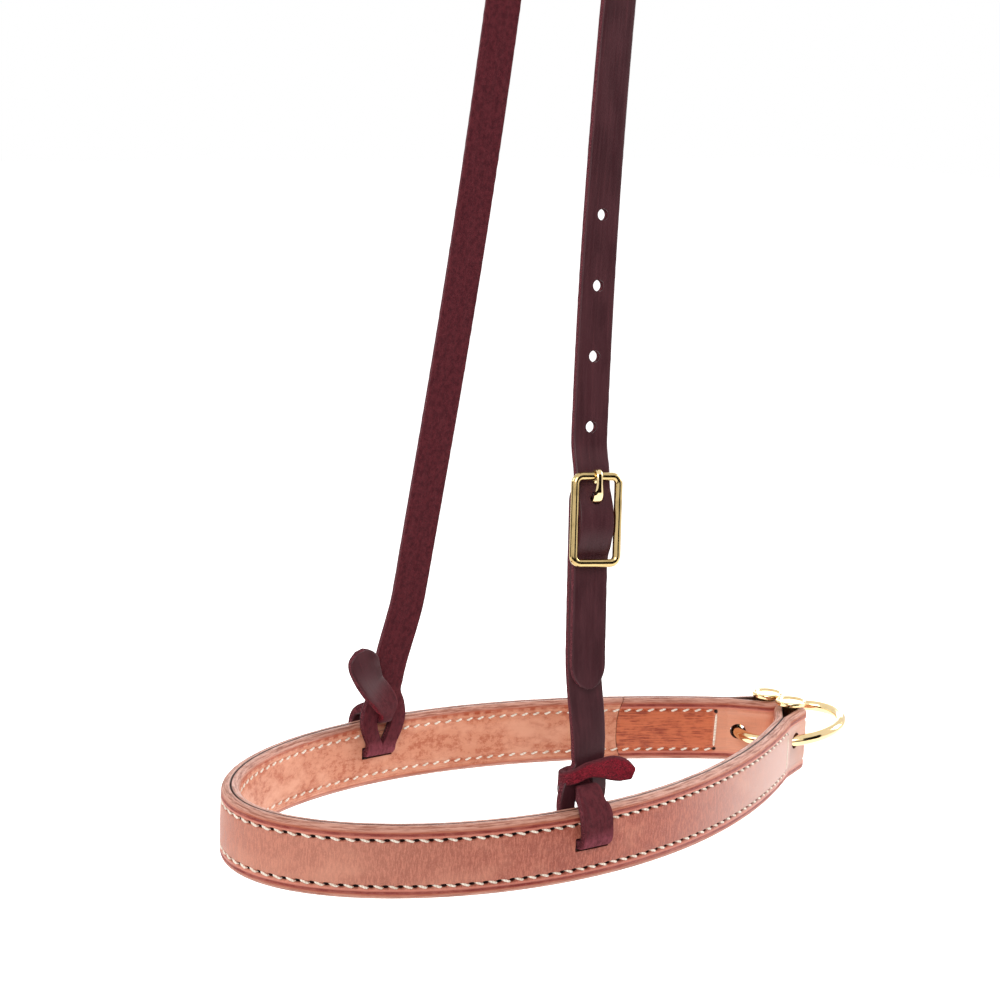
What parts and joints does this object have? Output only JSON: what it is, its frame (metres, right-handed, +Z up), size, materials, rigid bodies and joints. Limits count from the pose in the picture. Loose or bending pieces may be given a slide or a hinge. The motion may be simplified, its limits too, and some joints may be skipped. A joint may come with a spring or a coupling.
{
  "type": "tie-down noseband",
  "caption": "Doubled and stitched leather noseband folded round two binding posts that hold a tie-down ring, on a narrow buckled latigo hanger tied at the cheeks with slit knots.",
  "frame": {"origin": "middle of the flat underside of the hanger's crown, where it lies over the poll", "axes": "+Z up, -Y towards the nose, +Y towards the ring and throat, +X towards the buckle side"},
  "size_m": [0.1394, 0.2831, 0.5157],
  "materials": {
    "russet_leather": "semi-gloss burnished harness leather",
    "russet_lining": "satin harness leather",
    "burgundy_latigo": "oiled smooth latigo with a napped flesh side",
    "linen_thread": "waxed twisted thread",
    "brass": "polished solid brass"
  },
  "bodies": {
    "hanger": {"crown_strap": "burgundy_latigo", "cheek_strap": "burgundy_latigo", "buckle_frame": "brass"},
    "noseband": {"noseband_outer": "russet_leather", "noseband_liner": "russet_lining", "outer_thread": "linen_thread", "inner_thread": "linen_thread", "near_post_barrel": "brass", "near_post_screw": "brass", "far_post_barrel": "brass", "far_post_screw": "brass"},
    "tie_ring": {"tie_ring": "brass"},
    "buckle_tongue": {"buckle_tongue": "brass"}
  },
  "joints": [
    {"name": "noseband_tip", "type": "hinge", "parent": "hanger", "child": "noseband", "pos_m": [0.00007, -0.04319, -0.4991], "axis": [0.9996, 0.0289, 0], "range_deg": [-6, 6]},
    {"name": "ring_turn", "type": "hinge", "parent": "noseband", "child": "tie_ring", "pos_m": [0, 0.11678, -0.4966], "axis": [-0.0523, -0.1562, 0.9863], "continuous": true},
    {"name": "tongue_swing", "type": "hinge", "parent": "hanger", "child": "buckle_tongue", "pos_m": [0.0514, -0.03504, -0.37345], "axis": [-0.2695, -0.9621, 0.0415], "range_deg": [0, 100]}
  ]
}
